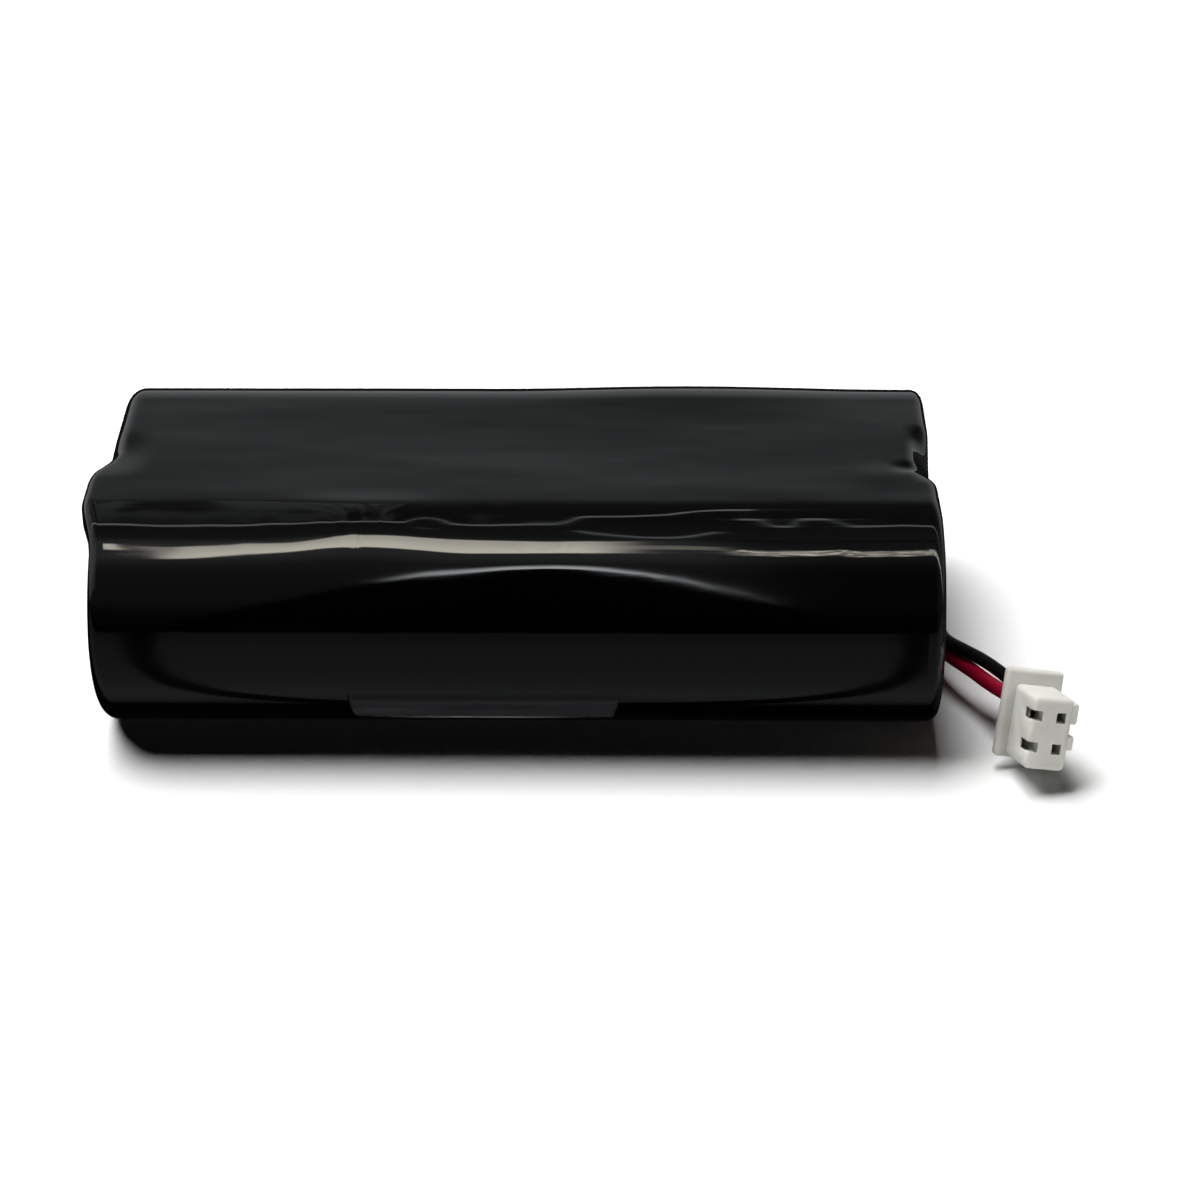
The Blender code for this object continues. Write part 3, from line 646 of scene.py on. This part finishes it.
def slot_materials():
    """One finished material for each slot of the record."""
    along = (0.05, 1.0, 1.0)
    around = (1.0, 0.08, 0.08)
    even = (1.0, 1.0, 1.0)
    return {
        "black_film": film_material(),
        "red_lead": lead_material("red_lead", (0.21, 0.001, 0.014), (0.30, 0.002, 0.024)),
        "black_lead": lead_material("black_lead", (0.0015, 0.0015, 0.0015), (0.004, 0.004, 0.004)),
        "plug_polymer": plug_material(),
        "barley_paper": paper_material("barley_paper", (0.20, 0.22, 0.18), (0.30, 0.32, 0.26)),
        "white_paper": paper_material("white_paper", (0.68, 0.68, 0.63), (0.80, 0.80, 0.76)),
        "nickel": metal_material("nickel", (0.50, 0.48, 0.44), (0.66, 0.64, 0.60), 0.3, even),
        "can_steel": metal_material("can_steel", (0.5, 0.5, 0.5), (0.62, 0.62, 0.63), 0.3, along),
        "vent_aluminium": metal_material("vent_aluminium", (0.66, 0.67, 0.68),
                                         (0.76, 0.77, 0.78), 0.3, around),
        "solder": metal_material("solder", (0.55, 0.55, 0.57), (0.72, 0.72, 0.74), 0.22, even),
        "hot_glue": moulded_material("hot_glue", (0.62, 0.56, 0.42), (0.74, 0.68, 0.52), 0.3),
        "cell_sleeve": moulded_material("cell_sleeve", (0.03, 0.18, 0.16), (0.05, 0.24, 0.22),
                                        0.3),
        "seal_polymer": moulded_material("seal_polymer", (0.06, 0.13, 0.36), (0.09, 0.18, 0.44),
                                         0.5),
        "thermal_polymer": moulded_material("thermal_polymer", (0.08, 0.08, 0.09),
                                            (0.12, 0.12, 0.13), 0.6),
        "electrode_foil": moulded_material("electrode_foil", (0.13, 0.12, 0.12),
                                           (0.20, 0.19, 0.18), 0.65),
        "board_laminate": moulded_material("board_laminate", (0.015, 0.12, 0.05),
                                           (0.025, 0.18, 0.08), 0.35),
        "chip_black": moulded_material("chip_black", (0.015, 0.015, 0.015),
                                       (0.03, 0.03, 0.03), 0.55),
        "resistor_ceramic": moulded_material("resistor_ceramic", (0.02, 0.02, 0.022),
                                             (0.04, 0.04, 0.045), 0.5),
        "capacitor_ceramic": moulded_material("capacitor_ceramic", (0.48, 0.36, 0.23),
                                              (0.60, 0.46, 0.31), 0.5),
    }


# ---------------------------------------------------------------- the shrink film

def film_outline():
    """Once around the pack: (centre y, normal y, normal z, distance round from the top's middle).

    The distance grows to the rear and is negative towards the front.
    """
    turns = [math.pi * step / ARC_STEPS for step in range(ARC_STEPS + 1)]
    sweep = HALF_SPACING + FILM_RADIUS * math.pi
    shares = [2 * step / FLAT_STEPS - 1 for step in range(1, FLAT_STEPS)]
    front = [(-HALF_SPACING, -math.sin(turn), math.cos(turn), -HALF_SPACING - FILM_RADIUS * turn)
             for turn in turns]
    bottom = [(HALF_SPACING * share, 0.0, -1.0, math.copysign(sweep, share)) for share in shares]
    rear = [(HALF_SPACING, math.sin(turn), math.cos(turn), HALF_SPACING + FILM_RADIUS * turn)
            for turn in turns[::-1]]
    top = [(-HALF_SPACING * share, 0.0, 1.0, -HALF_SPACING * share) for share in shares]
    return front + bottom + rear + top


def film_stations():
    """The film's cross-sections from the left opening to the right one.

    Each is (side, x, roll, inset, share of relief): the side is 0 between the ends, and there x
    counts; at an end, roll and inset say how far the section is back from the end and in.
    """
    half = [(0.0, 1.0 + LIP_REACH * step / LIP_STEPS, 0.0) for step in range(LIP_STEPS, 0, -1)]
    for step in range(ROLL_STEPS):
        angle = math.pi / 2 * step / ROLL_STEPS
        half.append((1 - math.cos(angle), 1 - math.sin(angle), math.sin(angle)))
    start = HALF_LENGTH - FILM_EDGE
    count = round(start / LENGTH_STEP)
    straight = [start - start * step / count for step in range(count)]
    left, right = ([(side, None, *place) for place in half] for side in (-1, 1))
    middle = [(0, -x, 0.0, 0.0, 1.0) for x in straight] + [(0, 0.0, 0.0, 0.0, 1.0)]
    middle += [(0, x, 0.0, 0.0, 1.0) for x in straight[::-1]]
    return left + middle + right[::-1]


def edge_radius(side, round_by):
    """The radius at which the film turns over the end at this place."""
    if side > 0:
        return 1.0
    tighter = smoothstep(2.0, 6.0, -round_by) * (1 - smoothstep(22.0, 32.0, -round_by))
    return 1.5 - 0.65 * tighter


def end_bulge(side, round_by):
    """How far the film's end stands out past the plain end, in millimetres."""
    if side > 0:
        return 0.04 * smoothstep(6.0, 12.0, abs(round_by)) - 0.16 * hill(round_by, 0.0, 6.0)
    return 1.15 * smoothstep(0.0, 4.2, -round_by) * (1 - smoothstep(8.5, 15.5, -round_by))


def valley_dip(x, round_by):
    """How far the film over the groove sinks near the pack's ends, in millimetres."""
    right = 2.1 * smoothstep(31.4, 33.5, x) * hill(round_by, -0.8, 5.4)
    left = 0.30 * smoothstep(29.5, 33.8, -x) * hill(round_by, -1.0, 4.5)
    return right + left


# Waves of the film's inner edges: the ring they run round, how often they come per millimetre,
# and how high they are for their distance in
LIP_RING = 9.0
LIP_WAVES = 0.16
LIP_HEIGHT = 0.4

# Dents and swellings of the film: (x, distance round, half length, half width, height)
DENTS = [
    (14.5, 14.0, 17.0, 10.0, 0.26),
    (0.0, 0.0, 30.0, 8.5, -0.08),
    (-12.2, -12.0, 9.0, 5.0, 0.17),
    (-27.0, -12.0, 8.0, 5.0, -0.06),
    (23.0, -12.0, 11.0, 5.0, -0.06),
    (-12.8, -14.3, 0.35, 1.6, -0.02),
    (31.4, -3.3, 2.0, 1.3, -0.16),
    (29.5, -5.0, 4.0, 3.0, 0.05),
]


def film_relief(x, round_by):
    """How far the film stands out of its plain shape at one point, in millimetres."""
    relief = 0.020 * ripple(x, round_by, 13.0, 4.0, 4.0) + 0.006 * ripple(x, round_by, 4.0, 2.0, 9.0)
    relief *= 1 - 0.75 * smoothstep(13.0, 16.0, -round_by)
    relief += 0.06 * ripple(x, round_by, 18.0, 9.0, 2.0) * hill(round_by, 0.0, 12.0)
    for middle, level, half_length, half_width, height in DENTS:
        if abs(x - middle) < half_length and abs(round_by - level) < half_width:
            relief += height * hill(x, middle, half_length) * hill(round_by, level, half_width)
    return relief * (1 - smoothstep(24.0, 33.0, abs(round_by)))


def film_point(station, around):
    """One point of the film."""
    side, x, roll, inset, share = station
    centre, normal_y, normal_z, round_by = around
    if side:
        radius = edge_radius(side, round_by)
        x = side * (HALF_LENGTH + end_bulge(side, round_by) - radius * roll)
        inset *= radius
    elif abs(x) > BULGE_START:
        side = math.copysign(1, x)
        stretch = end_bulge(side, round_by) + FILM_EDGE - edge_radius(side, round_by)
        x += side * stretch * smoothstep(BULGE_START, HALF_LENGTH - FILM_EDGE, abs(x))
    relief = film_relief(x, round_by) * share
    if share == 0.0:
        ring = Vector((centre + LIP_RING * normal_y, LIP_RING * normal_z, x))
        lip = noise.noise(ring * LIP_WAVES)
        relief = LIP_HEIGHT * lip * (inset - 1.0)
    radius = FILM_RADIUS - inset + relief - valley_dip(x, round_by)
    return x, centre + radius * normal_y, AXIS_HEIGHT + radius * normal_z


def make_film():
    """The outer sleeve as one thin shrunk skin with waves, dents, and lips rolled over the ends."""
    outline = film_outline()
    shape = bmesh.new()
    rings = [[shape.verts.new(film_point(station, around)) for around in outline]
             for station in film_stations()]
    for ring, following in zip(rings, rings[1:]):
        for index in range(len(ring)):
            beside = (index + 1) % len(ring)
            shape.faces.new((ring[index], following[index], following[beside], ring[beside]))
    film = mesh_object("shrink_film", shape, ALL_SMOOTH)
    skin = film.modifiers.new("thickness", "SOLIDIFY")
    skin.thickness = FILM * MM
    skin.offset = -1.0
    film.data.materials.append(LOOKS["black_film"])
    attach(film, "root")
    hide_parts("outer_sleeve")


def tab_point(down, along):
    """One point of the overlap tab, by its shares of the way down and along."""
    turn = math.radians(TAB_TOP + (TAB_EDGE - TAB_TOP) * down)
    x = TAB_START + (TAB_END - TAB_START) * along + TAB_FLARE * (1 - down) * (2 * along - 1)
    wave = 0.04 * noise.noise(Vector((0.35 * x, 7.0, 0.0))) * down
    radius = FILM_RADIUS - 0.05 + 0.16 * smoothstep(0.0, 0.3, down) + 0.08 * down + wave
    return x, -HALF_SPACING - radius * math.sin(turn), AXIS_HEIGHT + radius * math.cos(turn)


def make_film_tab():
    """The film's overlap tab low on the front, whose lower edge stands a little off the film."""
    shape = bmesh.new()
    rows = [[shape.verts.new(tab_point(step / TAB_STEPS, column / TAB_COLUMNS))
             for column in range(TAB_COLUMNS + 1)] for step in range(TAB_STEPS + 1)]
    for row, following in zip(rows, rows[1:]):
        for index in range(TAB_COLUMNS):
            shape.faces.new((row[index], row[index + 1], following[index + 1], following[index]))
    tab = mesh_object("film_tab", shape, ALL_SMOOTH)
    thick = tab.modifiers.new("thickness", "SOLIDIFY")
    thick.thickness = TAB_FILM * MM
    thick.offset = 0.0
    tab.data.materials.append(LOOKS["film_tab"])
    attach(tab, "root")


# ---------------------------------------------------------------- leads and plug

def plug_point(across, back, up):
    """A point of the plug's own frame, in the pack's frame, in millimetres."""
    turn = Euler([math.radians(angle) for angle in PLUG_TURN])
    return Vector(PLUG_PLACE) + turn.to_matrix() @ Vector((across, back, up))


def smooth_route(points):
    """Close points on a smooth curve through the route's own points."""
    route = [Vector(point) for point in points]
    ends = [2 * route[0] - route[1], *route, 2 * route[-1] - route[-2]]
    fine = []
    for before, start, end, after in zip(ends, ends[1:], ends[2:], ends[3:]):
        for step in range(ROUTE_STEPS):
            t = step / ROUTE_STEPS
            fine.append(0.5 * (2 * start + (end - before) * t
                               + (2 * before - 5 * start + 4 * end - after) * t ** 2
                               + (3 * start - before - 3 * end + after) * t ** 3))
    fine.append(route[-1])
    return fine


def make_lead(name, route, radius, column, node, slot):
    """One insulated lead from the board to the plug, as a fine smooth tube."""
    arrival = [plug_point(column, back, ROW) for back in (LEAD_ARRIVAL, LEAD_END)]
    points = smooth_route(route + arrival)
    curve = bpy.data.curves.new(name, "CURVE")
    curve.dimensions = "3D"
    curve.bevel_depth = radius * MM
    curve.bevel_resolution = 6
    curve.use_fill_caps = True
    spline = curve.splines.new("POLY")
    spline.points.add(len(points) - 1)
    for target, point in zip(spline.points, points):
        target.co = (*(point * MM), 1.0)
    spline.use_smooth = True
    lead = new_object(name, curve)
    curve.materials.append(LOOKS[slot])
    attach(lead, "root")
    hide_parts(node)


def box_shape(*boxes):
    """A bmesh of boxes, each given by its low and its high corner."""
    shape = bmesh.new()
    for low, high in boxes:
        size = Vector(high) - Vector(low)
        middle = (Vector(high) + Vector(low)) / 2
        place = Matrix.Translation(middle) @ Matrix.Diagonal((*size, 1.0))
        bmesh.ops.create_cube(shape, size=1.0, matrix=place)
    return shape


def use_tool(piece, tool, operation):
    """Apply a Boolean with a tool, then remove the tool."""
    step = piece.modifiers.new(operation.lower(), "BOOLEAN")
    step.operation = operation
    step.object = tool
    bpy.context.view_layer.objects.active = piece
    bpy.ops.object.modifier_apply(modifier=step.name)
    bpy.data.objects.remove(tool)


def rounded_box(name, low, high, radius):
    """A box with rounded edges."""
    shape = box_shape((low, high))
    bmesh.ops.bevel(shape, geom=shape.edges[:], offset=radius, segments=4, profile=0.5,
                    affect="EDGES", clamp_overlap=True)
    return mesh_object(name, shape)


def cavity_boxes(half_width, half_height, start, end):
    """Four equal boxes along the plug, one around the middle of each cavity."""
    return [((column - half_width, start, row - half_height),
             (column + half_width, end, row + half_height))
            for column in (-COLUMN, COLUMN) for row in (-ROW, ROW)]


def make_plug():
    """The moulded plug with rounded edges: body, collar, ribs, cavities and side windows."""
    housing = rounded_box("plug_body", *PLUG_BODY)
    for low, high, radius in (PLUG_COLLAR, PLUG_UPPER_RIB, PLUG_LOWER_RIB):
        use_tool(housing, rounded_box("addition", low, high, radius), "UNION")
    windows = [((WINDOW_SIDE, -CUT_MARGIN, row - WINDOW_HALF_HEIGHT),
                (-COLUMN, WINDOW_DEPTH, row + WINDOW_HALF_HEIGHT)) for row in (-ROW, ROW)]
    for boxes in (*[cavity_boxes(*stage) for stage in CAVITY_STAGES], windows):
        use_tool(housing, mesh_object("cut", box_shape(*boxes)), "DIFFERENCE")
    edges = housing.modifiers.new("softened_edges", "BEVEL")
    edges.width = SOFT_EDGE * MM
    edges.segments = 2
    edges.limit_method = "ANGLE"
    edges.angle_limit = math.radians(SOFT_EDGE_ANGLE)
    housing.location = Vector(PLUG_PLACE) * MM
    housing.rotation_euler = Euler([math.radians(angle) for angle in PLUG_TURN])
    housing.data.materials.append(LOOKS["plug_polymer"])
    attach(housing, "root")
    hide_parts("plug_housing")
    return housing


def light_plug(plug):
    """A small soft light from the front right, for the plug alone."""
    lamp = area_light("plug_light", PLUG_LIGHT_PLACE, PLUG_LIGHT_WATTS)
    lamp.data.size = PLUG_LIGHT_SIZE
    lit = bpy.data.collections.new("lit_by_plug_light")
    lit.objects.link(plug)
    lamp.light_linking.receiver_collection = lit


def dress_nodes():
    """Give every CAD node its slot's finished material, hidden ones too."""
    for part in frame["record"]["subparts"]:
        node = frame["nodes"][part["node"]]
        node.data.materials.clear()
        node.data.materials.append(LOOKS[part["material_slot"]])


make_camera()
LOOKS = slot_materials()
LOOKS["film_tab"] = tab_material()
make_stage()
make_lights()
dress_nodes()
plug = make_plug()
light_plug(plug)
make_lead("red_wire", RED_ROUTE, RED_RADIUS, -COLUMN, "positive_lead", "red_lead")
make_lead("black_wire", BLACK_ROUTE, BLACK_RADIUS, COLUMN, "negative_lead", "black_lead")
make_film()
make_film_tab()
